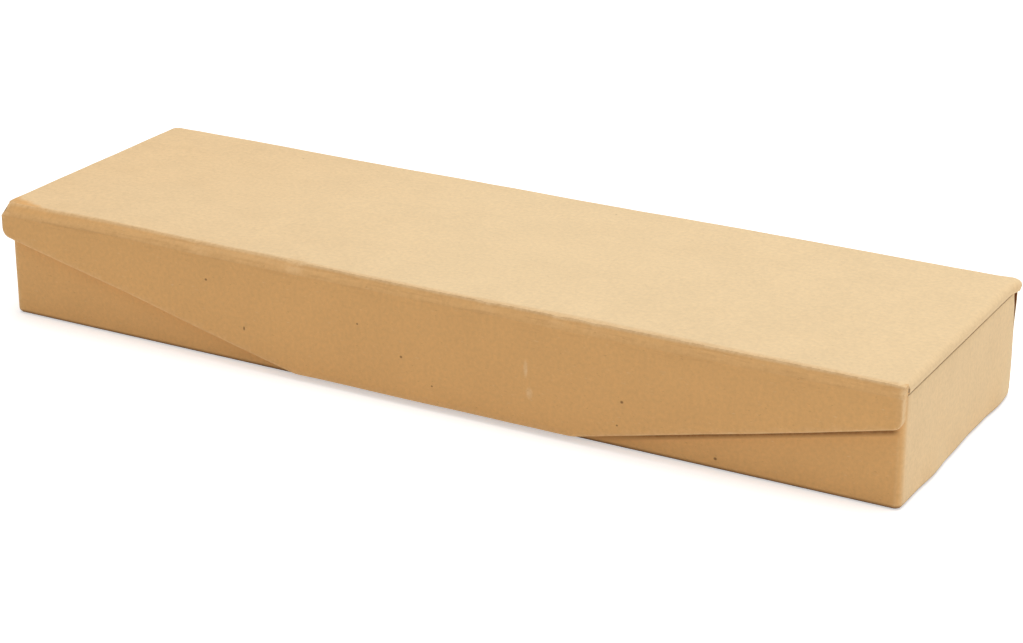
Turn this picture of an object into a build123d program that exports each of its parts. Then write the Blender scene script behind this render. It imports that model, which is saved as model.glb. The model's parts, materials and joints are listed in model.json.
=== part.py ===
from build123d import *
import os

# Pencil box: a tray of paper-covered greyboard, with a lid hinged on paper along its back and a
# tapered front flap hung from the lid on a paper fold. Millimetres. +Z is up, X runs along the
# box and the flap faces -Y. The origin is the middle of the tray's underside, on the table.

# Sheet materials
board = 1.8  # greyboard of every panel
paper = 0.2  # kraft paper with its glue
tape = 0.1  # gummed paper that ties the corners

# Tray
tray_length = 210.0
tray_depth = 63.0
tray_height = 23.5
tray_corner_r = 1.5  # upright corners, outside
tray_bottom_r = 1.0  # lower edges, outside
turn_in = 8.0  # margin of a covering paper that is glued round an edge
tape_leg = 12.0  # reach of a corner tape along each wall

# Lid
slit = 0.3  # air between the rim and the closed lid
left_overhang = 1.4  # the cover beyond the tray's left end
right_overhang = 0.2  # and beyond its right end: it was glued on a little to the left
rear_overhang = 0.9  # the lid's rear edge beyond the tray's back
lid_corner_r = 2.0  # rear corners, seen from above
lid_front_left_r = 2.5  # this front corner is crushed
lid_front_right_r = 1.0
lid_edge_r = 1.2  # upper edges at the rear and the ends

# Front flap
flap_gap = 0.2  # air between the tray's front and the hanging flap
flap_left_depth = 6.8  # left end, from the lid's top down to the slanted edge
flap_right_depth = 8.3  # right end, cut a little deeper
flap_floor_gap = 1.5  # under the middle of the flap
flap_flat = 66.0  # level part of the lower edge
flap_flat_shift = 4.4  # the level part sits to the right of the flap's middle
flap_end_r = 2.0
flap_flat_r = 8.0
flap_left_inset = 0.8  # the flap's left end stays short of the lid's
fold_r = 2.0  # outside of the paper fold between lid and flap

# Rear hinge paper
hinge_bottom = 1.0  # lower edge above the table
hinge_glued_to = 12.0  # glued to the tray up to this height, and free above it
hinge_clearance = 0.2  # bend line between this paper and the lid's edge

# Hidden magnets
magnet_d = 8.0
magnet_t = 1.0
magnet_spacing = 50.0
magnet_height = 10.0
magnet_clearance = 0.05

# Faces and levels that several pieces share
front = -tray_depth / 2
back = tray_depth / 2
rim = tray_height
lid_under = rim + slit
lid_thickness = board + 2 * paper
lid_top = lid_under + lid_thickness
lid_rear = back + rear_overhang
cover_left = -tray_length / 2 - left_overhang
cover_right = tray_length / 2 + right_overhang
cover_length = cover_right - cover_left
flap_left = cover_left + flap_left_inset
flap_flat_middle = (cover_left + cover_right) / 2 + flap_flat_shift
flap_inner = front - flap_gap
flap_outer = flap_inner - lid_thickness
doubled_paper = 2 * paper
wall = board + 2 * paper


def block(x0, x1, y0, y1, z0, z1):
    """A square-edged block between two limits along each axis."""
    centre = ((x0 + x1) / 2, (y0 + y1) / 2, (z0 + z1) / 2)
    return Pos(*centre) * Box(x1 - x0, y1 - y0, z1 - z0)


def tray_block(inset):
    """The tray's outer form, shrunk by an inset on its sides, its underside and its rim."""
    outline = RectangleRounded(
        tray_length - 2 * inset, tray_depth - 2 * inset, tray_corner_r - inset
    )
    solid = Pos(0, 0, inset) * extrude(outline, tray_height - 2 * inset)
    lower_edges = solid.faces().sort_by(Axis.Z)[0].edges()
    return fillet(lower_edges, tray_bottom_r - inset)


def tray_ring(outer_inset, inner_inset, z0, z1):
    """A square-cornered frame that follows the inside of the walls between two heights."""
    outer = Rectangle(tray_length - 2 * outer_inset, tray_depth - 2 * outer_inset)
    inner = Rectangle(tray_length - 2 * inner_inset, tray_depth - 2 * inner_inset)
    return Pos(0, 0, z0) * extrude(outer - inner, z1 - z0)


def lid_block(inset):
    """The lid's outer form, shrunk by an inset everywhere but at its front edge.

    It is cut from a longer block, so that its upper edges are rounded at the rear and the ends
    and stay square at the front, where the fold takes over.
    """
    x0 = cover_left + inset
    x1 = cover_right - inset
    y1 = lid_rear - inset
    z0 = lid_under + inset
    z1 = lid_top - inset
    solid = block(x0, x1, front - lid_corner_r, y1, z0, z1)
    rear_corners = solid.edges().filter_by(Axis.Z).group_by(Axis.Y)[-1]
    solid = fillet(rear_corners, lid_corner_r - inset)
    upper_edges = solid.faces().sort_by(Axis.Z)[-1].edges()
    front_edge = upper_edges.sort_by(Axis.Y)[0]
    solid = fillet([e for e in upper_edges if e != front_edge], lid_edge_r - inset)
    cutter = block(x0, x1, front, y1, z0, z1)
    front_left = cutter.edges().filter_by(Axis.Z).sort_by(Axis.X)[:2].sort_by(Axis.Y)[0]
    cutter = fillet(front_left, lid_front_left_r - inset)
    front_right = cutter.edges().filter_by(Axis.Z).sort_by(Axis.X)[-2:].sort_by(Axis.Y)[0]
    return solid & fillet(front_right, lid_front_right_r - inset)


def flap_sheet(inset, y_inner, thickness):
    """A sheet with the flap's outline, shrunk by an inset at its ends and its lower edge.

    It lies with its inner face at y_inner and grows towards the front.
    """
    above = lid_under + turn_in
    flat_left = flap_flat_middle - flap_flat / 2
    flat_right = flap_flat_middle + flap_flat / 2
    corners = [
        (flap_left, above),
        (flap_left, lid_top - flap_left_depth),
        (flat_left, flap_floor_gap),
        (flat_right, flap_floor_gap),
        (cover_right, lid_top - flap_right_depth),
        (cover_right, above),
    ]
    outline = make_face(Polyline(*corners, close=True))
    lower_left = outline.vertices().sort_by(Axis.X)[:2].sort_by(Axis.Y)[0]
    lower_right = outline.vertices().sort_by(Axis.X)[-2:].sort_by(Axis.Y)[0]
    outline = fillet([lower_left, lower_right], flap_end_r)
    outline = fillet(outline.vertices().group_by(Axis.Y)[0], flap_flat_r)
    if inset > 0:
        outline = offset(outline, -inset)
    below_fold = Pos(0, lid_under - cover_length / 2) * Rectangle(2 * cover_length, cover_length)
    return extrude(Plane.XZ.offset(-y_inner) * (outline & below_fold), thickness)


def magnet_pair(y_inner, thickness, radius):
    """Two discs or pockets in the flap's middle, growing from y_inner towards the front."""
    discs = [
        Pos(flap_flat_middle + side * magnet_spacing / 2, magnet_height) * Circle(radius)
        for side in (-1, 1)
    ]
    return extrude(Plane.XZ.offset(-y_inner) * Sketch(discs), thickness)


os.makedirs("parts", exist_ok=True)
parts = {}

# Tray boards: the floor lies between four walls, and the end walls stand between the long ones.
board_form = tray_block(paper)
inner_x = tray_length / 2 - paper - board
inner_y = tray_depth / 2 - paper - board
outer_x = tray_length / 2
outer_y = tray_depth / 2
front_wall = board_form & block(-outer_x, outer_x, front, -inner_y, 0, rim)
parts["tray_floor_board"] = block(-inner_x, inner_x, -inner_y, inner_y, paper, paper + board)
parts["tray_back_board"] = board_form & block(-outer_x, outer_x, inner_y, back, 0, rim)
parts["tray_left_board"] = board_form & block(-outer_x, -inner_x, -inner_y, inner_y, 0, rim)
parts["tray_right_board"] = board_form & block(inner_x, outer_x, -inner_y, inner_y, 0, rim)

# Tray magnets sit in pockets in the outside of the front wall, under the covering paper.
tray_pocket_y = front + paper + magnet_t
tray_pockets = magnet_pair(tray_pocket_y, magnet_t, magnet_d / 2 + magnet_clearance)
parts["tray_front_board"] = front_wall - tray_pockets
parts["tray_magnets"] = magnet_pair(tray_pocket_y, magnet_t, magnet_d / 2)

# Corner tapes wrap the upright corners of the boards.
tape_skin = tray_block(paper - tape) - board_form
tape_bottom = paper + tray_bottom_r
for side_y, long_wall in ((-1, "front"), (1, "back")):
    for side_x, end_wall in ((-1, "left"), (1, "right")):
        x_limits = sorted((side_x * outer_x, side_x * (outer_x - tape_leg)))
        y_limits = sorted((side_y * outer_y, side_y * (outer_y - tape_leg)))
        reach = block(*x_limits, *y_limits, tape_bottom, rim - paper)
        parts[f"corner_tape_{long_wall}_{end_wall}"] = tape_skin & reach

# Covering paper of the tray: round the walls, under the floor's margin and over the rim.
hollow = block(-inner_x, inner_x, -inner_y, inner_y, paper + board, rim)
base_window = block(
    -outer_x + turn_in, outer_x - turn_in, -outer_y + turn_in, outer_y - turn_in, 0, paper
)
tray_wrap = tray_block(0) - board_form - hollow - base_window
for node in [name for name in parts if name.startswith("corner_tape")]:
    tray_wrap -= parts[node]
tray_wrap += tray_ring(wall - paper, wall, rim - turn_in, rim)
parts["tray_wrap"] = tray_wrap
parts["tray_base_paper"] = base_window

# Linings: the walls' lining meets the covering paper where that ends inside the rim.
parts["tray_wall_lining"] = tray_ring(wall - paper, wall, paper + board, rim - turn_in)
parts["tray_floor_lining"] = block(
    -inner_x + paper, inner_x - paper, -inner_y + paper, inner_y - paper,
    paper + board, 2 * paper + board,
)

# Hinge paper: glued to the tray's back, then leaning out to the lid's rear edge.
hinge_top = lid_under - hinge_clearance
hinge_profile = Polyline(
    (back, hinge_bottom),
    (back, hinge_glued_to),
    (lid_rear - doubled_paper, hinge_top),
    (lid_rear, hinge_top),
    (back + doubled_paper, hinge_glued_to),
    (back + doubled_paper, hinge_bottom),
    close=True,
)
hinge_strip = extrude(Plane.YZ * make_face(hinge_profile), cover_length)
parts["hinge_paper"] = Pos(cover_left, 0, 0) * hinge_strip

# Lid: a board, the paper over its top and round its edges, and a lining let in between the
# margins of that paper.
lid_board = lid_block(paper)
lid_window = block(
    cover_left + turn_in, cover_right - turn_in,
    front, lid_rear - paper,
    lid_under, lid_under + paper,
)
parts["lid_board"] = lid_board
parts["lid_lining"] = lid_window
parts["lid_wrap"] = lid_block(0) - lid_board - lid_window

# Fold: doubled paper without a board in it, from the lid's front edge round to the flap's top.
fold_outer = block(flap_left, cover_right, flap_outer, front, lid_under, lid_top)
fold_edge = fold_outer.edges().filter_by(Axis.X).group_by(Axis.Z)[-1].sort_by(Axis.Y)[0]
fold_inner = block(
    flap_left, cover_right,
    flap_outer + doubled_paper, front,
    lid_under, lid_top - doubled_paper,
)
inner_edge = fold_inner.edges().filter_by(Axis.X).group_by(Axis.Z)[-1].sort_by(Axis.Y)[0]
parts["fold_paper"] = fillet(fold_edge, fold_r) - fillet(inner_edge, fold_r - doubled_paper)

# Flap: a board with the magnets in its inner side, the paper over its outside and round its
# edges, and a lining between the margins of that paper.
flap_board = flap_sheet(paper, flap_inner - paper, board)
flap_lining = flap_sheet(turn_in, flap_inner, paper)
flap_pocket_y = flap_inner - paper
flap_pockets = magnet_pair(flap_pocket_y, magnet_t, magnet_d / 2 + magnet_clearance)
parts["flap_board"] = flap_board - flap_pockets
parts["flap_magnets"] = magnet_pair(flap_pocket_y, magnet_t, magnet_d / 2)
parts["flap_lining"] = flap_lining
parts["flap_wrap"] = flap_sheet(0, flap_inner, lid_thickness) - flap_board - flap_lining

for name, shape in parts.items():
    export_step(Compound(shape.solids()), f"parts/{name}.step")
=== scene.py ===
# %% [markdown]
# # A pencil box covered in kraft paper
#
# The real object is a long, low box. A tray of grey board is covered in brown kraft paper, and a
# flat lid hangs on a strip of paper along the tray's back. A flap hangs from the lid's front edge
# on a fold of paper and covers the tray's front.
#
# The boards, linings, base paper, corner tapes and magnets come from the CAD model and keep its
# shapes. This lesson models the papers that the eye sees, in the same places and at nearly the
# same size, pushes them softly out of true as glued paper is, and gives every piece its finish.

import json
import math

import bmesh
import bpy
from mathutils import Matrix, Vector

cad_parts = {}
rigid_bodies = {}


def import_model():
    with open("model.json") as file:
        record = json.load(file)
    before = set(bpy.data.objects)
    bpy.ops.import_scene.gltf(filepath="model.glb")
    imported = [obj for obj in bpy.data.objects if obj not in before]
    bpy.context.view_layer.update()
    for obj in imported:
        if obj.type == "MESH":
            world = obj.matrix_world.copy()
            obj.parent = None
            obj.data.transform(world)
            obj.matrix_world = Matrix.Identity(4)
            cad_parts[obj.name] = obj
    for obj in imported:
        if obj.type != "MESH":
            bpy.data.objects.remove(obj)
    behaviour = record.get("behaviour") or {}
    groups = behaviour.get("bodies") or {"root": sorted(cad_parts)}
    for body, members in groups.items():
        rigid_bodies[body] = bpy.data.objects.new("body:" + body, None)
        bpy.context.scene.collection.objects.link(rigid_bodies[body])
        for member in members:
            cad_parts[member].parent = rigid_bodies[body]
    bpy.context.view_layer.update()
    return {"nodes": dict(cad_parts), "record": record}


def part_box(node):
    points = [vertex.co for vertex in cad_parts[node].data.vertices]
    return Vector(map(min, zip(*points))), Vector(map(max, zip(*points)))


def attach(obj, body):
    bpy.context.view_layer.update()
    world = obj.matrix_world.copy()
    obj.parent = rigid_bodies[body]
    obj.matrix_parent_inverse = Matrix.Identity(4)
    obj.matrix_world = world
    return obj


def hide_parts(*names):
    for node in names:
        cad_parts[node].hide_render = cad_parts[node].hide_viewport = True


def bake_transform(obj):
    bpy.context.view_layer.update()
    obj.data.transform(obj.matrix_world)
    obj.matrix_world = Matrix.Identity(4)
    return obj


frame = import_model()
scene = bpy.context.scene
print("nodes:", len(frame["nodes"]))

# %% [markdown]
# ## The places that the CAD model gives
#
# Every piece goes where its CAD node is, so the script asks the frame for the nodes' boxes
# instead of repeating their sizes. Only what a box doesn't tell, such as a radius, is written
# here again, in millimetres times `mm`.

# %% Read the places
mm = 0.001
paper = 0.2 * mm  # thickness of one glued sheet
turn_in = 8.0 * mm  # margin of a sheet that is glued round an edge

tray_low, tray_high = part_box("tray_wrap")
base_low, base_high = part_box("tray_base_paper")
lid_low, lid_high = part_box("lid_wrap")
lining_low, lining_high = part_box("lid_lining")
fold_low, fold_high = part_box("fold_paper")
flap_low, flap_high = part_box("flap_wrap")
flap_lining_low, flap_lining_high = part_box("flap_lining")
hinge_low, hinge_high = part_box("hinge_paper")
for name, low, high in (
    ("tray", tray_low, tray_high),
    ("lid", lid_low, lid_high),
    ("flap", flap_low, flap_high),
    ("paper under the tray", base_low, base_high),
    ("lining of the flap", flap_lining_low, flap_lining_high),
):
    print(name, "in mm:", [round(v / mm, 1) for v in high - low])

# %% [markdown]
# ## Camera
#
# The camera stands where the photographer stood: in front of the box and to its right, looking
# down on it. A long lens from about half a metre away gives the photograph's gentle perspective.
# Three turns place it: round the box, up from the floor, and a hair of roll.

# %% Place the camera
camera_azimuth = math.radians(28.745)  # from the front towards the right end
camera_elevation = math.radians(21.618)
camera_roll = math.radians(0.226)
camera_distance = 542.08 * mm
camera_target = Vector((6.689, -4.275, 10.0)) * mm
frame_width_px = 1023
focal_px = 2547.391  # focal length in pixels of a frame that wide
sensor_width = 36  # in Blender's millimetres, which only set the scale of the focal length

camera_turn = (
    Matrix.Rotation(camera_azimuth, 4, "Z")
    @ Matrix.Rotation(math.pi / 2 - camera_elevation, 4, "X")
    @ Matrix.Rotation(camera_roll, 4, "Z")
)
camera_data = bpy.data.cameras.new("camera")
camera_data.sensor_width = sensor_width
camera_data.lens = sensor_width * focal_px / frame_width_px
camera = bpy.data.objects.new("camera", camera_data)
camera_place = camera_target + camera_turn.to_3x3() @ Vector((0, 0, camera_distance))
camera.matrix_world = Matrix.Translation(camera_place) @ camera_turn
scene.collection.objects.link(camera)
scene.camera = camera
print("camera in mm:", [round(v / mm, 1) for v in camera_place])

# %% [markdown]
# ## Hands for paper
#
# Each paper starts from a block at its place in the box. In edit mode the block is bevelled, cut
# and opened until only the sheet is left. Then it is cut into small squares, so that it can bend
# softly. The helpers below do what a hand would do: start a block, pick faces or edges by where
# they lie, and cut along a line.

# %% Start a block
def new_block(name, low, high):
    """A block between two corners, with its place applied, in edit mode."""
    bpy.ops.object.select_all(action="DESELECT")
    low, high = Vector(low), Vector(high)
    bpy.ops.mesh.primitive_cube_add(size=1, location=(low + high) / 2, scale=high - low)
    piece = bpy.context.object
    piece.name = piece.data.name = name
    bpy.ops.object.transform_apply(location=True, rotation=True, scale=True)
    bpy.ops.object.mode_set(mode="EDIT")
    bpy.ops.mesh.select_all(action="DESELECT")
    return piece


# %% Pick faces and edges by where they lie
def near(a, b):
    """True where two lengths agree within a hundredth of a millimetre."""
    return abs(a - b) < 0.01 * mm


def pick_faces(piece, test):
    """Selects just the faces whose centre and normal pass the test."""
    bpy.ops.mesh.select_mode(type="FACE")
    mesh = bmesh.from_edit_mesh(piece.data)
    for face in mesh.faces:
        face.select_set(test(face.calc_center_median(), face.normal))
    mesh.select_flush_mode()
    bmesh.update_edit_mesh(piece.data)


def pick_edges(piece, test):
    """Selects just the sharp edges whose two ends pass the test."""
    bpy.ops.mesh.select_mode(type="EDGE")
    mesh = bmesh.from_edit_mesh(piece.data)
    for edge in mesh.edges:
        sharp = edge.calc_face_angle(math.pi) > math.radians(20)
        edge.select_set(sharp and test(edge.verts[0].co, edge.verts[1].co))
    mesh.select_flush_mode()
    bmesh.update_edit_mesh(piece.data)


def pick_points(piece, test):
    """Selects just the points whose place passes the test."""
    bpy.ops.mesh.select_mode(type="VERT")
    mesh = bmesh.from_edit_mesh(piece.data)
    for vertex in mesh.verts:
        vertex.select_set(test(vertex.co))
    mesh.select_flush_mode()
    bmesh.update_edit_mesh(piece.data)


# %% Cut along lines and into squares
same_point = 0.001 * mm  # points closer than this are one


def cut(place, normal, **options):
    """Cuts what is selected with a plane through a place."""
    bpy.ops.mesh.bisect(plane_co=place, plane_no=normal, threshold=same_point, **options)


def cut_all(place, normal, **options):
    """Cuts the whole piece with a plane through a place."""
    bpy.ops.mesh.select_all(action="SELECT")
    cut(place, normal, **options)


def cut_squares(piece, spacing, axes="XYZ"):
    """Cuts the whole piece with parallel planes, so that its flat faces become grids."""
    mesh = bmesh.from_edit_mesh(piece.data)
    for axis in axes:
        i = "XYZ".index(axis)
        low = min(v.co[i] for v in mesh.verts)
        high = max(v.co[i] for v in mesh.verts)
        count = max(1, round((high - low) / spacing))
        normal = Vector([float(i == k) for k in range(3)])
        for step in range(1, count):
            cut_all(normal * (low + (high - low) * step / count), normal)
        mesh = bmesh.from_edit_mesh(piece.data)


# %% [markdown]
# ## Out of true
#
# Paper that was wetted with glue dries a little wavy, and boards of a cheap box are never quite
# flat. Two Displace modifiers with cloud textures push a sheet by a few tenths of a millimetre,
# in long waves of about 40 mm and short ones of about 9 mm. They push only outwards, away from
# the board under the sheet. The sheets share the two textures and read them at the same place in
# space, so neighbours still meet. Only the strip at the back, which is stiff, stays without.
#
# `push` is a soft grab like a sculptor's: it moves what lies near a point and leaves the rest.

# %% Waves and pushes
long_waves = bpy.data.textures.new("long_waves", "CLOUDS")
long_waves.noise_scale = 42 * mm
long_waves.noise_depth = 0
short_waves = bpy.data.textures.new("short_waves", "CLOUDS")
short_waves.noise_scale = 9 * mm
short_waves.noise_depth = 1
long_height = 0.4 * mm
short_height = 0.12 * mm


def take(piece):
    """Selects just this piece and makes it the active one."""
    bpy.ops.object.select_all(action="DESELECT")
    piece.select_set(True)
    bpy.context.view_layer.objects.active = piece


def make_wavy(piece, group=""):
    """Pushes a sheet outwards in long and short waves, as far as its vertex group lets it."""
    take(piece)
    for texture, height in ((long_waves, long_height), (short_waves, short_height)):
        wave = piece.modifiers.new(texture.name, "DISPLACE")
        wave.texture = texture
        wave.texture_coords = "GLOBAL"
        wave.strength = height
        wave.mid_level = 0
        wave.vertex_group = group
        bpy.ops.object.modifier_apply(modifier=wave.name)


def push(pieces, centre, radius, move, group=""):
    """Pushes what lies within a radius of a point, softly less outwards. All is in mm."""
    for piece in pieces:
        ends = []
        for place in (Vector(centre), Vector(centre) + Vector(move)):
            bpy.ops.object.empty_add(location=place * mm)
            ends.append(bpy.context.object)
        take(piece)
        warp = piece.modifiers.new("push", "WARP")
        warp.object_from, warp.object_to = ends
        warp.falloff_type = "SMOOTH"
        warp.falloff_radius = radius * mm
        warp.vertex_group = group
        bpy.ops.object.modifier_apply(modifier=warp.name)
        for end in ends:
            bpy.data.objects.remove(end)


def weigh(piece, name, weight):
    """A vertex group whose weights come from a function of the place."""
    group = piece.vertex_groups.new(name=name)
    for vertex in piece.data.vertices:
        group.add([vertex.index], weight(vertex.co), "REPLACE")


# %% Pale edge marks and thickness
pale_per_bend = 2.5  # how soon a bend counts as fully pale
sharp_angle = math.radians(40)  # steeper edges stay sharp in the shading


def mark_edges(piece):
    """Stores how bent the sheet is at each point, where it is painted paler, partly as rubbed wear
    and partly as a painted highlight.
    """
    mesh = bmesh.new()
    mesh.from_mesh(piece.data)
    values = []
    for vertex in mesh.verts:
        normals = [face.normal for face in vertex.link_faces]
        bend = min((a.dot(b) for a in normals for b in normals), default=1)
        values.append(min(1, pale_per_bend * (1 - bend)))
    mesh.free()
    painted_light_mark = piece.data.attributes.new("worn_and_highlit", "FLOAT", "POINT")
    painted_light_mark.data.foreach_set("value", values)


def thicken(piece, thickness):
    """Gives the sheet its thickness inwards and smooths its shading."""
    take(piece)
    sheet = piece.modifiers.new("thickness", "SOLIDIFY")
    sheet.thickness = thickness
    sheet.offset = -1
    bpy.ops.object.modifier_apply(modifier=sheet.name)
    bpy.ops.object.shade_smooth_by_angle(angle=sharp_angle)
    piece.vertex_groups.clear()
    print(piece.name, "has", len(piece.data.polygons), "faces")


def leave_edit_mode():
    """Merges points that the cuts left on top of each other and goes back to object mode."""
    bpy.ops.mesh.select_all(action="SELECT")
    bpy.ops.mesh.remove_doubles(threshold=same_point)
    bpy.ops.mesh.select_all(action="DESELECT")
    bpy.ops.object.mode_set(mode="OBJECT")


# %% [markdown]
# ## The tray's paper
#
# One sheet goes round the tray's four walls, under the floor's margin, over the rim and a short
# way down inside. It could be wrapped as a strip with folded corners, but those folds are glued
# flat and don't show. So a block is bevelled along its upright and lower edges, the opening is
# cut into its top and pushed down, and the faces that the sheet doesn't cover are deleted.

# %% Model the tray's paper
wall = 2.2 * mm  # board and a paper on each side
tray_corner_r = 1.5 * mm
tray_bottom_r = 1.0 * mm
rim_r = 0.4 * mm
inside_x = tray_high.x - wall
inside_y = tray_high.y - wall

tray_paper = new_block("tray_paper", tray_low, tray_high)
pick_edges(tray_paper, lambda a, b: near(a.x, b.x) and near(a.y, b.y))
bpy.ops.mesh.bevel(offset=tray_corner_r, segments=5, affect="EDGES")
pick_edges(tray_paper, lambda a, b: near(a.z, tray_low.z) and near(b.z, tray_low.z))
bpy.ops.mesh.bevel(offset=tray_bottom_r, segments=4, affect="EDGES")

# %% Open its top and its underside
for side in (-1, 1):
    pick_faces(tray_paper, lambda c, n: n.z > 0.9)
    cut((side * inside_x, 0, 0), (1, 0, 0))
    pick_faces(tray_paper, lambda c, n: n.z > 0.9)
    cut((0, side * inside_y, 0), (0, 1, 0))
pick_faces(tray_paper, lambda c, n: n.z > 0.9 and abs(c.x) < inside_x and abs(c.y) < inside_y)
bpy.ops.mesh.extrude_region_move(TRANSFORM_OT_translate={"value": (0, 0, -turn_in)})
bpy.ops.mesh.delete(type="FACE")
pick_edges(tray_paper, lambda a, b: near(a.z, tray_high.z) and near(b.z, tray_high.z))
bpy.ops.mesh.bevel(offset=rim_r, segments=2, affect="EDGES")

for side in (-1, 1):
    pick_faces(tray_paper, lambda c, n: n.z < -0.9)
    cut((side * base_high.x, 0, 0), (1, 0, 0))
    pick_faces(tray_paper, lambda c, n: n.z < -0.9)
    cut((0, side * base_high.y, 0), (0, 1, 0))
pick_faces(
    tray_paper,
    lambda c, n: n.z < -0.9 and abs(c.x) < base_high.x and abs(c.y) < base_high.y,
)
bpy.ops.mesh.delete(type="FACE")

# %% Make the tray's paper wavy
square = 1.5 * mm  # size of the squares that let a sheet bend
waves_start = 3 * mm  # distance below the rim at which the waves are whole
waves_under_cover = 0.35  # the long walls are held flat by the lid and the flap
cut_squares(tray_paper, square)
leave_edit_mode()


def outside_of_tray(place):
    """1 on the outside of the walls, falling to 0 at the rim and under the floor."""
    on_wall = near(abs(place.x), tray_high.x) or near(abs(place.y), tray_high.y)
    near_corner = (
        abs(place.x) > tray_high.x - tray_corner_r and abs(place.y) > tray_high.y - tray_corner_r
    )
    if not (on_wall or near_corner or place.z < tray_bottom_r):
        return 0.0
    below_rim = max(0.0, min(1.0, (tray_high.z - place.z) / waves_start))
    above_floor = max(0.0, min(1.0, place.z / tray_bottom_r))
    under_cover = waves_under_cover if abs(place.x) < tray_high.x - tray_corner_r else 1.0
    return below_rim * above_floor * under_cover


weigh(tray_paper, "outside", outside_of_tray)
make_wavy(tray_paper, "outside")

# %% [markdown]
# ## The lid's paper
#
# The lid is a flat board in a sheet that is turned over both ends and the rear edge and glued a
# short way under it. Its corners are soft: a little round at the back and crushed at the front
# left, where the box has been knocked. That corner is closed, so that no board shows there. The
# right one stays open, which leaves the small hole that the real box has.
#
# On the board's front edge lies a strip of paper of its own, a sheet's thickness further out. It
# is hidden while the box is shut and covers the board when the flap is raised.

# %% Model the lid's paper
lid_rear_corner_r = 2.0 * mm
lid_front_left_r = 2.5 * mm
lid_front_right_r = 1.0 * mm
lid_edge_r = 1.2 * mm

lid_paper = new_block(
    "lid_paper", (lid_low.x, lid_low.y - lid_rear_corner_r, lid_low.z), lid_high
)
pick_edges(
    lid_paper, lambda a, b: near(a.x, b.x) and near(a.y, lid_high.y) and near(b.y, lid_high.y)
)
bpy.ops.mesh.bevel(offset=lid_rear_corner_r, segments=6, affect="EDGES")
pick_edges(
    lid_paper,
    lambda a, b: near(a.z, lid_high.z)
    and near(b.z, lid_high.z)
    and max(a.y, b.y) > lid_low.y,
)
bpy.ops.mesh.bevel(offset=lid_edge_r, segments=4, affect="EDGES")

# %% Cut its front corners round
def round_corner(centre_x, radius, side, closed):
    """Cuts an upright round corner at the lid's front, a small flat at a time."""
    flats = 5
    centre = Vector((centre_x, lid_low.y + radius, 0))
    for flat in range(flats):
        angle = math.radians(90) * (flat + 0.5) / flats
        outward = Vector((side * math.sin(angle), -math.cos(angle), 0))
        cut_all(centre + outward * radius, outward, clear_outer=True, use_fill=closed)


round_corner(lid_low.x + lid_front_left_r, lid_front_left_r, -1, closed=True)
cut_all((0, lid_low.y, 0), (0, -1, 0), clear_outer=True, use_fill=True)
round_corner(lid_high.x - lid_front_right_r, lid_front_right_r, 1, closed=False)

# %% Part the strip on the board's front edge, which lies under the fold
strip_top = lid_high.z - 0.6 * mm  # the fold leaves the lid above this
pick_faces(lid_paper, lambda c, n: n.y < -0.995)
bpy.ops.mesh.split()
cut((0, 0, strip_top), (0, 0, 1), clear_outer=True)
pick_faces(lid_paper, lambda c, n: n.y < -0.995)
bpy.ops.transform.translate(value=(0, -paper, 0))

# %% Open its underside where the lining lies
for place, normal in (
    ((lining_low.x, 0, 0), (1, 0, 0)),
    ((lining_high.x, 0, 0), (1, 0, 0)),
    ((0, lining_high.y, 0), (0, 1, 0)),
):
    pick_faces(lid_paper, lambda c, n: n.z < -0.9)
    cut(place, normal)
pick_faces(
    lid_paper,
    lambda c, n: n.z < -0.9 and lining_low.x < c.x < lining_high.x and c.y < lining_high.y,
)
bpy.ops.mesh.delete(type="FACE")

# %% Make the lid's paper wavy
cut_squares(lid_paper, square, "XY")
leave_edit_mode()
weigh(
    lid_paper,
    "outside",
    lambda place: float(place.z > lid_low.z + 0.5 * mm and not near(place.z, strip_top)),
)
make_wavy(lid_paper, "outside")

# %% [markdown]
# ## The fold along the front
#
# Between the lid's board and the flap's board there are only two layers of paper. They leave the
# lid level, turn down in a crease and then bulge out to the flap. A block with its front upper
# edge bevelled gives that turn in five rows of points, and each row is pulled to its place. The
# block's underside is deleted and its back too, except behind the lid's round front corners,
# where the paper is tucked in. Cuts every millimetre let it crumple. Towards the left the real
# crease runs further back, so a vertex group lets one more modifier draw it back there.

# %% Model the fold
fold_r = 2.0 * mm
front_fold_paper = new_block("front_fold_paper", fold_low, fold_high)
pick_edges(
    front_fold_paper,
    lambda a, b: near(a.z, b.z) and near(a.z, fold_high.z) and near(a.y, b.y)
    and near(a.y, fold_low.y),
)
quarter_turn_flats = 4
bpy.ops.mesh.bevel(offset=fold_r, segments=quarter_turn_flats, affect="EDGES")
row_moves = ((-0.9, 0.0), (-0.3, -0.4), (0.06, -0.36), (0.06, -0.27), (0.0, -0.1))  # y, z in mm
rows = [
    fold_high.z - fold_r * (1 - math.cos(math.radians(90 / quarter_turn_flats * row)))
    for row in range(len(row_moves))
]
for height, (forward, upward) in reversed(list(zip(rows, row_moves))):
    pick_points(
        front_fold_paper, lambda p: near(p.z, height) and p.y < fold_high.y - 0.1 * mm
    )
    bpy.ops.transform.translate(value=(0, forward * mm, upward * mm))
closed_left = lid_low.x + lid_front_left_r
closed_right = lid_high.x - lid_front_right_r
for x in (closed_left, closed_right):
    cut_all((x, 0, 0), (1, 0, 0))
pick_faces(
    front_fold_paper,
    lambda c, n: n.z < -0.9 or (n.y > 0.9 and closed_left < c.x < closed_right),
)
bpy.ops.mesh.delete(type="FACE")
cut_squares(front_fold_paper, 1.0 * mm, "X")
leave_edit_mode()


# %% Let the crease run back towards the left
run_back_from = -8 * mm  # x at which the crease starts to run back
run_back_over = 30 * mm  # and the way to the left that it takes
run_back_low = 23.8 * mm  # height below which nothing moves
run_back_rise = 2.1 * mm


def crease_left(place):
    """1 on the crease's left part, falling to 0 near the middle and towards the flap."""
    if place.y > fold_high.y - 0.1 * mm:
        return 0.0
    leftwards = max(0.0, min(1.0, (run_back_from - place.x) / run_back_over))
    return leftwards * max(0.0, min(1.0, (place.z - run_back_low) / run_back_rise)) ** 2


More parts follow.
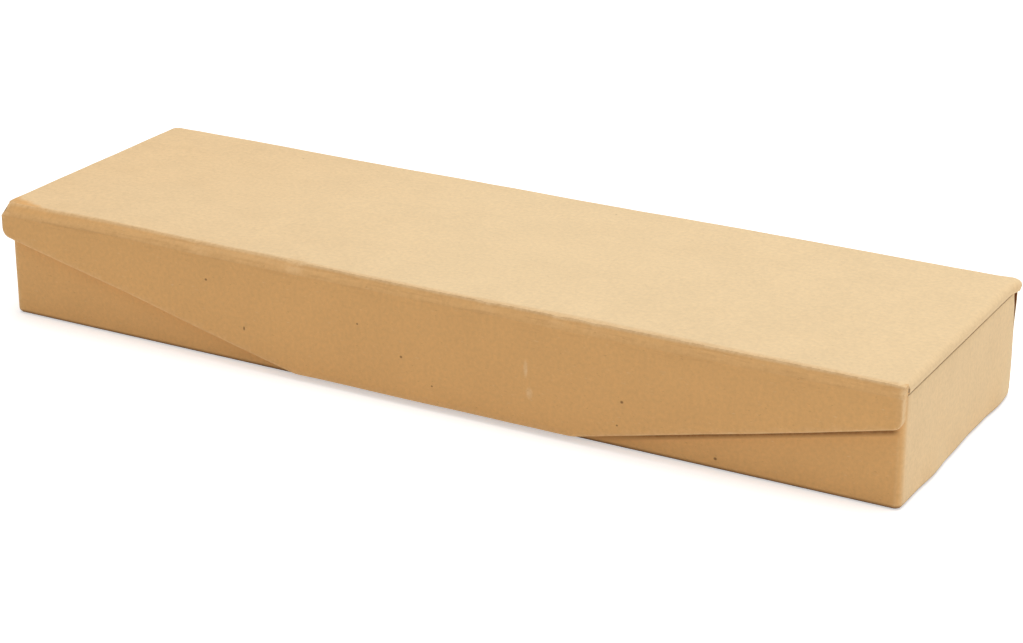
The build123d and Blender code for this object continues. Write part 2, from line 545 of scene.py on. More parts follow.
weigh(front_fold_paper, "crease_left", crease_left)
run_back = front_fold_paper.modifiers.new("run_back", "DISPLACE")
run_back.direction = "Y"
run_back.mid_level = 0
run_back.strength = 0.8 * mm
run_back.vertex_group = "crease_left"
bpy.ops.object.modifier_apply(modifier=run_back.name)
make_wavy(front_fold_paper)

# %% [markdown]
# ## The flap's paper
#
# The flap's outline is a low trapezium: level in the middle and slanting up to both ends, with
# small round corners at the ends and wide ones in the middle. A thin block is clipped to that
# outline one short straight cut at a time, as scissors would do it. Its front edges are bevelled
# a little, because paper wraps a board with a small radius.

# %% Draw the flap's outline
flap_flat = 66.0 * mm  # level part of the lower edge
flap_flat_middle = 3.8 * mm
flap_left_z = lid_high.z - 6.8 * mm
flap_right_z = lid_high.z - 8.3 * mm
flap_end_r = 2.0 * mm
flap_flat_r = 8.0 * mm


def round_point(before, corner, after, radius, steps):
    """Points on the arc that rounds a corner of an outline, in order."""
    a = (before - corner).normalized()
    b = (after - corner).normalized()
    half = a.angle(b) / 2
    centre = corner + (a + b).normalized() * (radius / math.sin(half))
    start = corner + a * (radius / math.tan(half)) - centre
    end = corner + b * (radius / math.tan(half)) - centre
    return [
        centre + (start.lerp(end, step / steps)).normalized() * radius for step in range(steps + 1)
    ]


end_left = Vector((flap_low.x, flap_left_z))
flat_left = Vector((flap_flat_middle - flap_flat / 2, flap_low.z))
flat_right = Vector((flap_flat_middle + flap_flat / 2, flap_low.z))
end_right = Vector((flap_high.x, flap_right_z))
up = Vector((0, turn_in))
outline = (
    round_point(end_left + up, end_left, flat_left, flap_end_r, 5)
    + round_point(end_left, flat_left, flat_right, flap_flat_r, 4)
    + round_point(flat_left, flat_right, end_right, flap_flat_r, 4)
    + round_point(flat_right, end_right, end_right + up, flap_end_r, 5)
)
print("outline has", len(outline), "points")

# %% Clip a sheet to it and give it the board's thickness
flap_edge_r = 0.4 * mm
flap_paper = new_block("flap_paper", flap_low, flap_high)
pick_faces(flap_paper, lambda c, n: n.y > -0.9)
bpy.ops.mesh.delete(type="FACE")
for p, q in zip(outline, outline[1:]):
    run = q - p
    if run.length > 0.01 * mm:
        outward = Vector((run.y, 0, -run.x)).normalized()
        cut_all((p.x, 0, p.y), outward, clear_outer=True)
bpy.ops.mesh.select_all(action="SELECT")
bpy.ops.mesh.extrude_region_move(
    TRANSFORM_OT_translate={"value": (0, flap_high.y - flap_low.y, 0)}
)
bpy.ops.mesh.select_all(action="SELECT")
bpy.ops.mesh.normals_make_consistent(inside=False)

# %% Bevel its edges and open its back
pick_edges(
    flap_paper,
    lambda a, b: near(a.y, flap_low.y) and near(b.y, flap_low.y)
    and not (near(a.z, flap_high.z) and near(b.z, flap_high.z)),
)
bpy.ops.mesh.bevel(offset=flap_edge_r, segments=2, affect="EDGES")
pick_faces(flap_paper, lambda c, n: n.z > 0.9)
bpy.ops.mesh.delete(type="FACE")

lining_edges = []
for p, q in ((end_left, flat_left), (flat_left, flat_right), (flat_right, end_right)):
    outward = Vector(((q - p).y, 0, -(q - p).x)).normalized()
    lining_edges.append((Vector((p.x, 0, p.y)) - outward * turn_in, outward))
for place, outward in lining_edges:
    pick_faces(flap_paper, lambda c, n: n.y > 0.9)
    cut(place, outward)
pick_faces(
    flap_paper,
    lambda c, n: n.y > 0.9 and all((c - place).dot(out) < 0 for place, out in lining_edges),
)
bpy.ops.mesh.delete(type="FACE")

# %% Make the flap's paper wavy
cut_squares(flap_paper, square, "XZ")
leave_edit_mode()
weigh(flap_paper, "outside", lambda place: float(place.y < flap_low.y + 0.5 * mm))
make_wavy(flap_paper, "outside")

# %% [markdown]
# ## The hinge along the back
#
# A strip of doubled paper joins the lid to the tray. It is glued low on the tray's back and stands
# off it above, because the lid has pulled it out, and it ends under the lid's edge. At the right
# end it gapes so much that a dark wedge of shade shows between it and the tray, which is painted
# on the strip's inner side further on. One side of a block is kept, creased where the glue ends,
# and cut in fine rows where it bends.

# %% Model the rear hinge
glued_to = 12.0 * mm  # height that the glue reaches
standing_off = 0.5 * mm
hinge_right = hinge_high.x - 0.6 * mm  # the strip stops short of the lid's right end
bend_height = 1 * mm  # the part under the lid's edge that bends
bend_rows = 5

rear_hinge_paper = new_block(
    "rear_hinge_paper", hinge_low, (hinge_right, hinge_high.y, lid_low.z)
)
pick_faces(rear_hinge_paper, lambda c, n: n.y < 0.9)
bpy.ops.mesh.delete(type="FACE")
cut_all((0, 0, glued_to), (0, 0, 1))
pick_points(rear_hinge_paper, lambda p: p.z < glued_to + 0.01 * mm)
bpy.ops.transform.translate(value=(0, -standing_off, 0))
for row in range(bend_rows):
    cut_all((0, 0, lid_low.z - bend_height + row * mm / bend_rows), (0, 0, 1))
cut_squares(rear_hinge_paper, square, "XZ")
leave_edit_mode()

# %% [markdown]
# ## Knocks, dents and creases
#
# Straight sheets look made by a machine, and this box has lived. A Warp modifier pushes all that
# lies near a point, most at the point and softly less around it. Because it measures from the
# point and not from the mesh, it moves neighbouring sheets alike and their seams stay shut.

# %% Push the sheets
# Each push has a centre, a radius and a movement, in millimetres.
cover_sheets = (lid_paper, front_fold_paper, flap_paper)
lid_and_fold = cover_sheets[:2]
turn_in_y = 29.4 * mm  # the tray's paper further in than this stays on its board
turn_in_fade = 1.6 * mm
push(cover_sheets, (-75.0, -31.5, 26.0), 32.0, (0.0, 0.0, 0.35))  # the front edge lifts a little
push(lid_and_fold, (-106.4, -33.4, 26.2), 3.6, (0.6, 0.2, -0.9))  # knocked left corner
push(lid_and_fold, (105.4, -33.4, 26.2), 2.5, (-0.2, 0.2, -0.3))  # right corner
push([lid_paper], (105.8, 33.0, 24.8), 6.0, (0.9, 1.8, -0.4))  # drooping right rear corner
weigh(
    tray_paper, "back", lambda place: min(1.0, max(0.0, (place.y - turn_in_y) / turn_in_fade))
)
push([tray_paper], (105.0, 32.0, 6.0), 26.0, (0.0, 1.8, 0.0), "back")  # right rear edge
push([rear_hinge_paper], (105.0, 32.0, 6.0), 26.0, (0.0, 1.8, 0.0))
push([rear_hinge_paper], (104.6, 32.4, 22.5), 9.0, (0.0, 1.3, 0.0))  # gaping end of the hinge
for x, depth in ((-53.0, 0.3), (-29.0, 0.55), (17.0, 0.25), (33.0, 0.3), (41.0, 0.2)):
    push(lid_and_fold, (x, -33.0, 26.0), 2.6, (0.0, 0.4 * depth, -depth))  # dents
for y, out in ((-14.0, 0.35), (7.0, -0.15), (25.0, 0.45)):
    push([tray_paper], (105.0, y, 0.2), 9.0, (out, 0.0, 0.0))  # uneven lower right edge
print("pushed the corners and the crease")

# %% [markdown]
# ## Pale edges and painted shade
#
# The finish has to know where each point lies on the box, so three values are stored on the
# sheets: how sharply the paper bends there, which is where it is painted paler, how much painted
# shade it gets, and how much it faces both forward and up. They are worked out before the sheet is
# thickened, so that both of its sides share them.

# %% Mark the pale edges and the painted shade
knock_point = Vector((-105.0, -28.2, 26.0)) * mm  # the line behind which the lid is crushed
knock_direction = Vector((-0.34, -0.94, 0))
knock_fade = 0.8 * mm
shade_front = -1.2  # times the normal's y: the front faces away from the light
shade_ends = 0.12
shade_left = 0.22
inward_from = 0.5  # a face that looks inwards more than this is inside the tray


def crushed(place):
    """How far a point lies on the lid's knocked front left corner, which is painted in shade."""
    return max(0.0, min(1.0, (place - knock_point).dot(knock_direction) / knock_fade))


def mark_painted_shade(piece):
    """Stores how much painted shade each point gets, and how much it faces forward and up."""
    values, faces_front_and_up = [], []
    for vertex in piece.data.vertices:
        n, place = vertex.normal, vertex.co
        # Painted shade: most on the front, a little on the ends, and more towards the left end.
        shade_amount = shade_front * n.y + shade_ends * abs(n.x)
        shade_amount += shade_left * max(0.0, -place.x / tray_high.x)
        # The lid's crushed front left corner is painted in shade.
        if place.z > lid_low.z and n.z > 0.5:
            shade_amount += crushed(place)
        inward = max(-n.x * place.x / tray_high.x, -n.y * place.y / tray_high.y)
        # Insides, and level faces below the lid's underside such as the tray's rim, get full
        # painted shade.
        if inward > inward_from or abs(n.z) > 0.8 and place.z < lid_low.z + 0.5 * mm:
            shade_amount = 1.0
        values.append(max(0.0, min(1.0, shade_amount)))
        # How much the sheet faces both forward and up, above the lid's underside.
        faces_front_and_up.append(max(0.0, -2 * n.y * n.z) if place.z > lid_low.z else 0.0)
    for name, numbers in (("painted_shade", values), ("faces_front_and_up", faces_front_and_up)):
        stored = piece.data.attributes.new(name, "FLOAT", "POINT")
        stored.data.foreach_set("value", numbers)


sheets = (
    (tray_paper, paper),
    (lid_paper, paper),
    (front_fold_paper, 2 * paper),
    (flap_paper, paper),
    (rear_hinge_paper, 2 * paper),
)
for piece, thickness in sheets:
    mark_edges(piece)
    mark_painted_shade(piece)
    thicken(piece, thickness)

# %% [markdown]
# ## Colours and nodes
#
# Colours are written as they are read off a screen, in sRGB, and one function turns them to the
# linear values that Blender calculates with. One more function adds a node with its settings and
# its links, which keeps the recipes below short enough to read. Two settings that many nodes
# share have names of their own.

# %% Turn colours to linear and add nodes
multiply = {"operation": "MULTIPLY"}
maximum = {"operation": "MAXIMUM"}


def linear(colour):
    """Turns '#RRGGBB' from sRGB to a linear colour with alpha."""
    channels = [int(colour[i : i + 2], 16) / 255 for i in (1, 3, 5)]
    return [c / 12.92 if c <= 0.04045 else ((c + 0.055) / 1.055) ** 2.4 for c in channels] + [1.0]


def add(tree, kind, settings, inputs):
    """Adds a node. An input is named or numbered, and gets a value or a node's output."""
    node = tree.nodes.new("ShaderNode" + kind)
    for name, value in settings.items():
        setattr(node, name, value)
    for name, value in inputs.items():
        if isinstance(name, str):
            socket = next(s for s in node.inputs if s.enabled and s.name == name)
        else:
            socket = node.inputs[name]
        if isinstance(value, bpy.types.Node):
            tree.links.new(next(s for s in value.outputs if s.enabled), socket)
        elif isinstance(value, bpy.types.NodeSocket):
            tree.links.new(value, socket)
        else:
            socket.default_value = value
    return node


def new_material(name):
    """An empty material and the object coordinates that its patterns read."""
    material = bpy.data.materials.new(name)
    material.use_nodes = True
    material.node_tree.nodes.clear()
    coordinates = add(material.node_tree, "TexCoord", {}, {})
    return material, material.node_tree, coordinates.outputs["Object"]


def show(tree, colour, bump, roughness, **constants):
    """Ends a recipe in the shader and the output."""
    values = {"Base Color": colour, "Normal": bump, "Roughness": roughness, **constants}
    shader = add(tree, "BsdfPrincipled", {}, values)
    add(tree, "OutputMaterial", {}, {"Surface": shader})


def per(length):
    """The Scale of a pattern whose features are as large as a length."""
    return 1 / length


# %% [markdown]
# ## Kraft paper
#
# Kraft paper is pulp of unbleached softwood, pressed and dried on rollers and not coated. It is
# matt and warm brown, a little cloudy where the pulp lies thicker, with dark and pale fibres up to
# a millimetre long and now and then a speck of bark. Its colour is mixed by painted shade: the top
# and the ends are painted pale as if lit, and the front, the left part and the insides browner as
# if in shade. Where it folds over an edge it is painted paler, partly as rubbed wear and partly as
# a painted highlight.
#
# The fibres are 0.02 to 0.04 mm thick, too fine for this render, so they are drawn about 0.2 mm
# thick. All patterns read object coordinates, so they run on from one sheet to the next.

# %% Name the marks that this box has
flecks = (  # place on the front, half width and half height, in mm
    ((-50.9, -34.0, 18.7), 0.42, 0.34),
    ((-41.5, -34.0, 9.4), 0.32, 0.6),
    ((-13.2, -34.0, 15.9), 0.3, 0.25),
    ((-2.7, -34.0, 10.7), 0.4, 0.35),
    ((4.6, -34.0, 5.7), 0.3, 0.25),
    ((47.8, -34.0, 11.3), 0.45, 0.4),
    ((46.8, -34.0, 6.1), 0.28, 0.25),
    ((67.0, -31.6, 2.4), 0.45, 0.4),
)
scuffs = (
    ((27.2, -34.0, 8.9), 0.9, 1.5),
    ((26.3, -34.0, 14.0), 0.6, 2.4),
)


def spot(tree, place, centre, radii):
    """1 in the middle of an ellipsoid and 0 at its edge."""
    scale = [1 / (r * mm) for r in radii]
    moved = add(tree, "VectorMath", {"operation": "SUBTRACT"}, {0: place, 1: Vector(centre) * mm})
    sized = add(tree, "VectorMath", {"operation": "MULTIPLY"}, {0: moved, 1: scale})
    length = add(tree, "VectorMath", {"operation": "LENGTH"}, {0: sized})
    return add(
        tree, "MapRange", {}, {"Value": length.outputs["Value"], "From Min": 1, "From Max": 0.4}
    )


# %% Paint the tray's shade
flap_shadow_strength = 0.8
slit_shade_strength = 0.9
least_painted_shade = 0.7  # of full, where the mottling is lightest


def tray_painted_shade(tree, place, patches):
    """Painted shade on the tray: a contact shadow along its lower edge, the flap's shadow under
    its right edge, and shade in the slit under the lid's right end.
    """
    split = add(tree, "SeparateXYZ", {}, {"Vector": place})
    x, y, z = (split.outputs[axis] for axis in "XYZ")
    run = end_right - flat_right
    outward = Vector((run.y, 0, -run.x)).normalized()
    start = Vector((flat_right.x, 0, flat_right.y))
    moved = add(tree, "VectorMath", {"operation": "SUBTRACT"}, {0: place, 1: start})
    below = add(tree, "VectorMath", {"operation": "DOT_PRODUCT"}, {0: moved, 1: outward})
    below = below.outputs["Value"]  # distance below the flap's edge
    bands = {}
    for name, value, unshaded, painted_dark in (  # each band runs from an unshaded place to a fully painted one
        ("lower edge", z, 1.1 * mm, 0.3 * mm),
        ("below the flap's edge", below, 2.1 * mm, 1.2 * mm),
        ("not far behind the flap", below, -0.4 * mm, 0.6 * mm),
        ("right of the flap's middle", x, flat_right.x, 55 * mm),
        ("left of the corner", x, 104.3 * mm, 102.8 * mm),
        ("on the front", y, -31.1 * mm, -31.4 * mm),
        ("rim", z, 23.15 * mm, 23.35 * mm),
        ("right end", x, 104.0 * mm, 104.4 * mm),
    ):
        bands[name] = add(
            tree, "MapRange", {}, {"Value": value, "From Min": unshaded, "From Max": painted_dark}
        )
    # Painted shadow of the flap's lower right edge on the tray's front.
    painted_light_mark = bands["below the flap's edge"]
    for name in (
        "not far behind the flap",
        "right of the flap's middle",
        "left of the corner",
        "on the front",
    ):
        painted_light_mark = add(tree, "Math", multiply, {0: painted_light_mark, 1: bands[name]})
    # Painted shade in the slit under the lid, on the rim at the right end.
    rim = add(tree, "Math", multiply, {0: bands["rim"], 1: bands["right end"]})
    # Painted contact shadow along the tray's lower edge.
    tray_shade = bands["lower edge"]
    for part, strength in ((painted_light_mark, flap_shadow_strength), (rim, slit_shade_strength)):
        part = add(tree, "Math", multiply, {0: part, 1: strength})
        tray_shade = add(tree, "Math", maximum, {0: tray_shade, 1: part})
    mottled = add(tree, "MapRange", {}, {"Value": patches, "To Min": least_painted_shade})
    return add(tree, "Math", multiply, {0: tray_shade, 1: mottled})


# %% Recipe for kraft paper
speck_strength = 0.55  # specks of bark in the pulp
mark_strength = 0.75  # specks and flecks together
pale_edge_strength = 0.5  # painted paler where the sheet bends, as rubbed wear and as painted highlight
scuff_strength = 0.45
crease_shade_strength = 0.09  # painted shade in the fine creases under the fold
dried_height = 0.10  # slow swelling of the dried sheet, in mm


def kraft_paper(name, pale, brown, fixed_shade=None, painted_dark=False):
    """Kraft paper mixed between a lit and a shaded colour by painted shade, read from the sheet or
    fixed for the whole sheet.
    """
    material, tree, place = new_material(name)

    if fixed_shade is None:
        shade = add(tree, "Attribute", {"attribute_name": "painted_shade"}, {}).outputs["Fac"]
    else:
        shade = fixed_shade
    # Painted shade: the colour runs from the lit pale tone to the shaded brown one.
    base = add(
        tree,
        "Mix",
        {"data_type": "RGBA"},
        {"Factor": shade, "A": linear(pale), "B": linear(brown)},
    )

    clouds = add(
        tree,
        "TexNoise",
        {},
        {"Vector": place, "Scale": per(10 * mm), "Detail": 3.0, "Roughness": 0.55},
    )
    pulp = add(
        tree,
        "TexNoise",
        {},
        {"Vector": place, "Scale": per(0.9 * mm), "Detail": 3.0, "Roughness": 0.6},
    )
    thickness = add(
        tree,
        "MapRange",
        {},
        {"Value": clouds.outputs["Fac"], "From Min": 0.3, "From Max": 0.7, "To Min": 0.975,
         "To Max": 1.02},
    )
    grain = add(
        tree,
        "MapRange",
        {},
        {"Value": pulp.outputs["Fac"], "From Min": 0.3, "From Max": 0.7, "To Min": 0.94,
         "To Max": 1.05},
    )
    # A little darker where the sheet faces both forward and up, along the fold.
    faces_front_and_up = add(tree, "Attribute", {"attribute_name": "faces_front_and_up"}, {})
    darker_front_up = add(tree, "MapRange", {}, {"Value": faces_front_and_up.outputs["Fac"], "To Min": 1.0,
                                        "To Max": 0.92})
    tone = add(tree, "Math", multiply, {0: thickness, 1: grain})
    tone = add(tree, "Math", multiply, {0: tone, 1: darker_front_up})
    colour = add(tree, "VectorMath", {"operation": "SCALE"}, {0: base, "Scale": tone})

    fibres = {}
    for kind, turn, size in (("dark", 0.5, 0.9), ("pale", -0.6, 1.3)):
        turned = add(
            tree,
            "Mapping",
            {},
            {"Vector": place, "Rotation": (turn, turn * 1.7, turn),
             "Scale": (per(size * mm), per(0.22 * mm), per(0.3 * mm))},
        )
        streaks = add(tree, "TexNoise", {}, {"Vector": turned, "Scale": 1.0, "Detail": 1.0})
        fibres[kind] = add(
            tree,
            "MapRange",
            {},
            {"Value": streaks.outputs["Fac"], "From Min": 0.7, "From Max": 0.84},
        )
    for kind, tint, strength in (("dark", "#9A6A34", 0.4), ("pale", "#F2DDB4", 0.25)):
        shown = add(tree, "Math", multiply, {0: fibres[kind], 1: strength})
        colour = add(
            tree,
            "Mix",
            {"data_type": "RGBA"},
            {"Factor": shown, "A": colour, "B": linear(tint)},
        )

    bark = add(tree, "TexVoronoi", {}, {"Vector": place, "Scale": per(9 * mm)})
    rare = add(
        tree,
        "Math",
        {"operation": "GREATER_THAN"},
        {0: add(tree, "SeparateColor", {}, {"Color": bark.outputs["Color"]}), 1: 0.72},
    )
    speck = add(
        tree,
        "MapRange",
        {},
        {"Value": bark.outputs["Distance"], "From Min": 0.035, "From Max": 0.015},
    )
    marks = add(tree, "Math", multiply, {0: speck, 1: rare})
    marks = add(tree, "Math", multiply, {0: marks, 1: speck_strength})
    for centre, half_width, half_height in flecks:
        fleck = spot(tree, place, centre, (half_width, 1.0, half_height))
        marks = add(tree, "Math", maximum, {0: marks, 1: fleck})
    shown = add(tree, "Math", multiply, {0: marks, 1: mark_strength})
    colour = add(
        tree,
        "Mix",
        {"data_type": "RGBA"},
        {"Factor": shown, "A": colour, "B": linear("#5E3A1A")},
    )

    worn_and_highlit = add(tree, "Attribute", {"attribute_name": "worn_and_highlit"}, {})
    patches = add(
        tree,
        "MapRange",
        {},
        {"Value": pulp.outputs["Fac"], "From Min": 0.35, "From Max": 0.6, "To Min": 0.35},
    )
    pale_wear_and_highlight = add(tree, "Math", multiply, {0: worn_and_highlit.outputs["Fac"], 1: patches})
    pale_wear_and_highlight = add(tree, "Math", multiply, {0: pale_wear_and_highlight, 1: pale_edge_strength})
    for centre, half_width, half_height in scuffs:
        scuff = spot(tree, place, centre, (half_width, 1.0, half_height))
        scuff = add(tree, "Math", multiply, {0: scuff, 1: scuff_strength})
        scuff = add(tree, "Math", multiply, {0: scuff, 1: patches})
        pale_wear_and_highlight = add(tree, "Math", maximum, {0: pale_wear_and_highlight, 1: scuff})
    # Paler along bends, partly rubbed wear and partly painted highlight; the scuffs are wear.
    colour = add(
        tree,
        "Mix",
        {"data_type": "RGBA"},
        {"Factor": pale_wear_and_highlight, "A": colour, "B": linear("#EFD3A6")},
    )

    stretched = add(
        tree,
        "Mapping",
        {},
        {"Vector": place, "Scale": (per(9 * mm), per(2 * mm), per(0.7 * mm))},
    )
    lines = add(tree, "TexNoise", {}, {"Vector": stretched, "Scale": 1.0, "Detail": 2.0})
    lines = add(
        tree, "MapRange", {}, {"Value": lines.outputs["Fac"], "From Min": 0.52, "From Max": 0.64}
    )
    height_in_space = add(tree, "SeparateXYZ", {}, {"Vector": place})
    under_crease = add(
        tree,
        "MapRange",
        {},
        {"Value": height_in_space.outputs["Z"], "From Min": 21.5 * mm, "From Max": 24.0 * mm},
    )
    # Painted shade in the fine creases under the fold, scaled by the painted shade.
    creases = add(tree, "Math", multiply, {0: lines, 1: under_crease})
    creases = add(tree, "Math", multiply, {0: creases, 1: shade})
    shown = add(tree, "Math", multiply, {0: creases, 1: crease_shade_strength})
    colour = add(
        tree,
        "Mix",
        {"data_type": "RGBA"},
        {"Factor": shown, "A": colour, "B": linear("#8A5A28")},
    )
    # Painted shade on the tray: contact shadow, the flap's shadow and the shade in the slit.
    if painted_dark:
        colour = add(
            tree,
            "Mix",
            {"data_type": "RGBA"},
            {"Factor": tray_painted_shade(tree, place, patches), "A": colour, "B": linear("#6E4518")},
        )

    dried = add(
        tree,
        "TexNoise",
        {},
        {"Vector": place, "Scale": per(5 * mm), "Detail": 2.0, "Roughness": 0.5},
    )
    height = add(tree, "Math", multiply, {0: dried.outputs["Fac"], 1: dried_height})
    for detail, depth in (  # in mm
        (pulp.outputs["Fac"], 0.022),
        (fibres["pale"], 0.008),
        (creases, -0.035),
    ):
        height = add(
            tree, "Math", {"operation": "MULTIPLY_ADD"}, {0: detail, 1: depth, 2: height}
        )
    bump = add(tree, "Bump", {}, {"Height": height, "Strength": 1.0, "Distance": 1 * mm})
    roughness = add(
        tree,
        "MapRange",
        {},
        {"Value": pulp.outputs["Fac"], "To Min": 0.78, "To Max": 0.95},
    )
    show(tree, colour, bump, roughness, IOR=1.5)
    return material


lit_kraft_colour = "#EACDA0"
shaded_kraft_colour = "#E0AC6C"
lining_painted_shade = 0.6  # a fixed painted shade for the linings, between the lit and the shaded colour
kraft_cover = kraft_paper("kraft_paper_cover", lit_kraft_colour, shaded_kraft_colour)
kraft_tray = kraft_paper("kraft_paper_tray", lit_kraft_colour, shaded_kraft_colour, painted_dark=True)
kraft_lining = kraft_paper("kraft_paper_lining", lit_kraft_colour, shaded_kraft_colour, lining_painted_shade)

# %% [markdown]
# ## Kraft paper stained by glue
# On the real box a red-brown shadow shows in the wedge between the rear strip and the tray. It is
# painted as a dark kraft on the inner side of the strip, near the right end where the strip gapes,
# and not at its top, which shows when the lid is open. That it is glue is a guess from its colour.

# %% Put the finishes on the sheets
hinge_shadow_colour = "#7A4420"
hinge_shadow_mix = 0.5  # of no effect, because both colours are the same
hinge_shadow_top = 22.6 * mm
hinge_shadow_left = 90 * mm
hinge_shadow_kraft = kraft_paper("kraft_paper_painted_hinge_shadow", hinge_shadow_colour, hinge_shadow_colour, hinge_shadow_mix)
for piece, thickness in sheets:
    piece.data.materials.append(kraft_tray if piece == tray_paper else kraft_cover)
# Painted shadow: the strip's inner side near its gaping right end gets the dark shadow colour.
rear_hinge_paper.data.materials.append(hinge_shadow_kraft)
for face in rear_hinge_paper.data.polygons:
    inside = face.normal.y < 0 and face.center.z < hinge_shadow_top
    face.material_index = int(inside and face.center.x > hinge_shadow_left)

# %% [markdown]
# ## Grey board, gummed tape and magnets
#
# Grey board is waste paper pulped again and pressed thick: grey-brown, rough, with flecks of what
# it was. Gummed tape is thinner and glossier kraft, with the roller's faint lines. The magnets
# are nickel-plated discs with a fine matt plating.

# %% Recipes for grey board, tape and magnets
board_fleck_strength = 0.6
board_height = 0.05  # height of each surface's pattern, in mm
tape_height = 0.02
plating_height = 0.003


def grey_board():
    """Recycled board: grey-brown pulp with dark and pale flecks."""
    material, tree, place = new_material("recycled_grey_board")
    pulp = add(tree, "TexNoise", {}, {"Vector": place, "Scale": per(1.2 * mm), "Detail": 4.0})
    colour = add(
        tree,
        "Mix",
        {"data_type": "RGBA"},
        {"Factor": pulp.outputs["Fac"], "A": linear("#97907F"), "B": linear("#BDB5A4")},
    )
    flecked = add(tree, "TexVoronoi", {}, {"Vector": place, "Scale": per(1.5 * mm)})
    fleck = add(
        tree,
        "MapRange",
        {},
        {"Value": flecked.outputs["Distance"], "From Min": 0.12, "From Max": 0.05},
    )
    tint = add(
        tree,
        "Mix",
        {"data_type": "RGBA"},
        {"Factor": 0.35, "A": linear("#6B6557"), "B": flecked.outputs["Color"]},
    )
    shown = add(tree, "Math", multiply, {0: fleck, 1: board_fleck_strength})
    colour = add(
        tree, "Mix", {"data_type": "RGBA"}, {"Factor": shown, "A": colour, "B": tint}
    )
    height = add(tree, "Math", multiply, {0: pulp.outputs["Fac"], 1: board_height})
    bump = add(tree, "Bump", {}, {"Height": height, "Distance": 1 * mm})
    show(tree, colour, bump, 0.95, IOR=1.5)
    return material


def gummed_tape():
    """Thin glazed kraft tape with the faint lines of its roller."""
    material, tree, place = new_material("gummed_kraft_tape")
    lines = add(
        tree,
        "TexWave",
        {"bands_direction": "Z"},
        {"Vector": place, "Scale": per(2 * mm), "Distortion": 1.5, "Detail": 2.0},
    )
    colour = add(
        tree,
        "Mix",
        {"data_type": "RGBA"},
        {"Factor": lines.outputs["Fac"], "A": linear("#B98A55"), "B": linear("#C79A65")},
    )
    pulp = add(tree, "TexNoise", {}, {"Vector": place, "Scale": per(0.6 * mm), "Detail": 3.0})
    height = add(tree, "Math", multiply, {0: pulp.outputs["Fac"], 1: tape_height})
    bump = add(tree, "Bump", {}, {"Height": height, "Distance": 1 * mm})
    show(tree, colour, bump, 0.55, IOR=1.5)
    return material


def nickel_plate():
    """Nickel plating on a magnet: bright, slightly yellow, with fine tumbling marks."""
    material, tree, place = new_material("nickel_plated_magnet")
    marks = add(tree, "TexNoise", {}, {"Vector": place, "Scale": per(0.5 * mm), "Detail": 4.0})
    colour = add(
        tree,
        "Mix",
        {"data_type": "RGBA"},
        {"Factor": marks.outputs["Fac"], "A": linear("#BDB7AA"), "B": linear("#D6D1C6")},
    )
    roughness = add(tree, "MapRange", {}, {"Value": marks.outputs["Fac"], "To Min": 0.2,
                                           "To Max": 0.38})
    height = add(tree, "Math", multiply, {0: marks.outputs["Fac"], 1: plating_height})
    bump = add(tree, "Bump", {}, {"Height": height, "Distance": 1 * mm})
    show(tree, colour, bump, roughness, Metallic=1.0)
    return material


finishes = {
    "kraft_paper": kraft_lining,
    "greyboard": grey_board(),
    "gummed_tape": gummed_tape(),
    "magnet": nickel_plate(),
}

# %% Dress the CAD nodes that stay
for row in frame["record"]["subparts"]:
    node = bpy.data.objects[row["node"]]
    finish = finishes[row["material_slot"]]
    for slot in node.material_slots:
        slot.material = finish
    if not node.material_slots:
        print("no slot on", row["node"])

# %% [markdown]
# ## Floor and light
#
# The photograph has a white ground and soft light from the upper right. The floor is a large
# pale sheet. It looks white to the camera, and in mirrors and glass, by a little glow that adds
# no light to the box and keeps its shadow. A large lamp above, a weaker one at the right end and
# an even white sky light it.

# %% Make the floor
floor_size = 6  # in metres
floor_glow = 0.45
bpy.ops.object.select_all(action="DESELECT")
bpy.ops.mesh.primitive_plane_add(size=floor_size)
floor = bpy.context.object
floor.name = "floor"
bpy.ops.object.mode_set(mode="EDIT")
bpy.ops.mesh.subdivide(number_cuts=8)
bpy.ops.object.mode_set(mode="OBJECT")

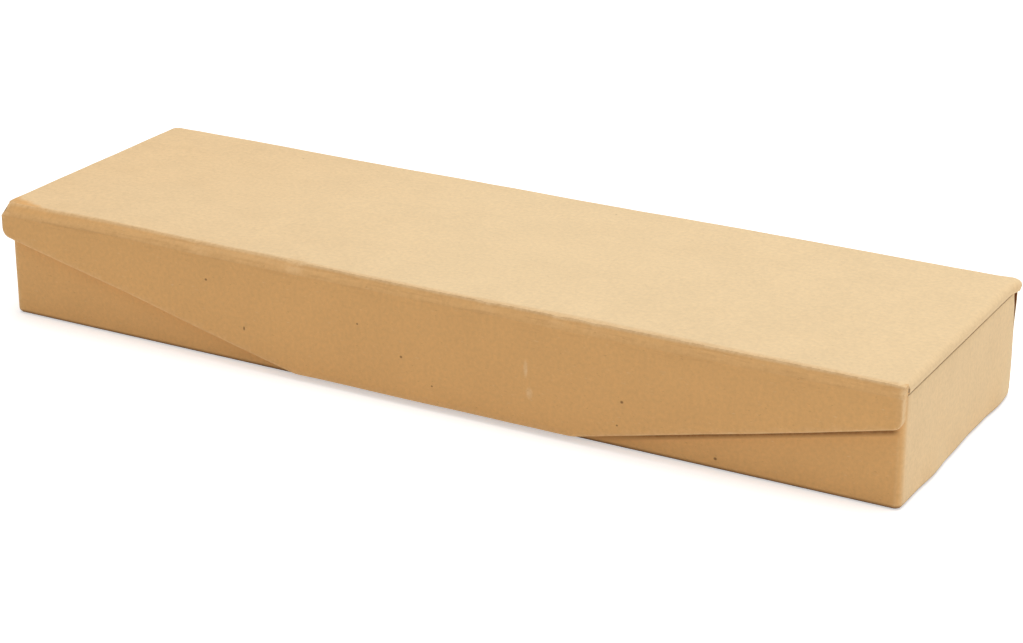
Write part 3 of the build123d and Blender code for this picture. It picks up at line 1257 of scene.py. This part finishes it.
floor_material = bpy.data.materials.new("white_paper_ground")
floor_material.use_nodes = True
tree = floor_material.node_tree
tree.nodes.clear()
ground = add(
    tree, "BsdfPrincipled", {}, {"Base Color": linear("#F4F4F4"), "Roughness": 0.9}
)
seen = add(tree, "LightPath", {}, {})
seen_by = seen.outputs["Is Camera Ray"]
for ray in ("Is Glossy Ray", "Is Transmission Ray"):
    seen_by = add(tree, "Math", maximum, {0: seen_by, 1: seen.outputs[ray]})
glow_strength = add(tree, "Math", multiply, {0: seen_by, 1: floor_glow})
glow = add(tree, "Emission", {}, {"Color": (1, 1, 1, 1), "Strength": glow_strength})
both = add(tree, "AddShader", {}, {0: ground, 1: glow})
add(tree, "OutputMaterial", {}, {"Surface": both})
floor.data.materials.append(floor_material)

# %% Light the box
sky_strength = 0.57
world = bpy.data.worlds.new("sky")
world.use_nodes = True
world.node_tree.nodes["Background"].inputs["Color"].default_value = (1, 1, 1, 1)
world.node_tree.nodes["Background"].inputs["Strength"].default_value = sky_strength
scene.world = world


def add_lamp(name, place, size, watts):
    """A square lamp at a place and of a size in metres, aimed at the box."""
    data = bpy.data.lights.new(name, "AREA")
    data.shape = "SQUARE"
    data.size = size
    data.energy = watts
    lamp = bpy.data.objects.new(name, data)
    place = Vector(place)
    aim = (-place).to_track_quat("-Z", "Y").to_matrix().to_4x4()
    lamp.matrix_world = Matrix.Translation(place) @ aim
    scene.collection.objects.link(lamp)


add_lamp("key_lamp", (0.1, 0.1, 1.1), 0.7, 6.0)
add_lamp("side_lamp", (1.1, 0.05, 0.2), 0.6, 1.7)
scene.view_settings.view_transform = "Standard"

# %% [markdown]
# ## Join the papers to the moving parts
#
# Each paper replaces its CAD node, which stays in the physics model. The tray's, the lid's and the
# flap's papers ride on their bodies. The front fold and the strip at the back cross a joint,
# between lid and flap and between tray and lid; here they are only set in place and ride on no
# body.

# %% Replace and ride
for piece, node in (
    (tray_paper, "tray_wrap"),
    (lid_paper, "lid_wrap"),
    (front_fold_paper, "fold_paper"),
    (flap_paper, "flap_wrap"),
    (rear_hinge_paper, "hinge_paper"),
):
    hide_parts(node)
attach(tray_paper, "tray")
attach(lid_paper, "lid")
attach(flap_paper, "flap")
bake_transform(front_fold_paper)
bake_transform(rear_hinge_paper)
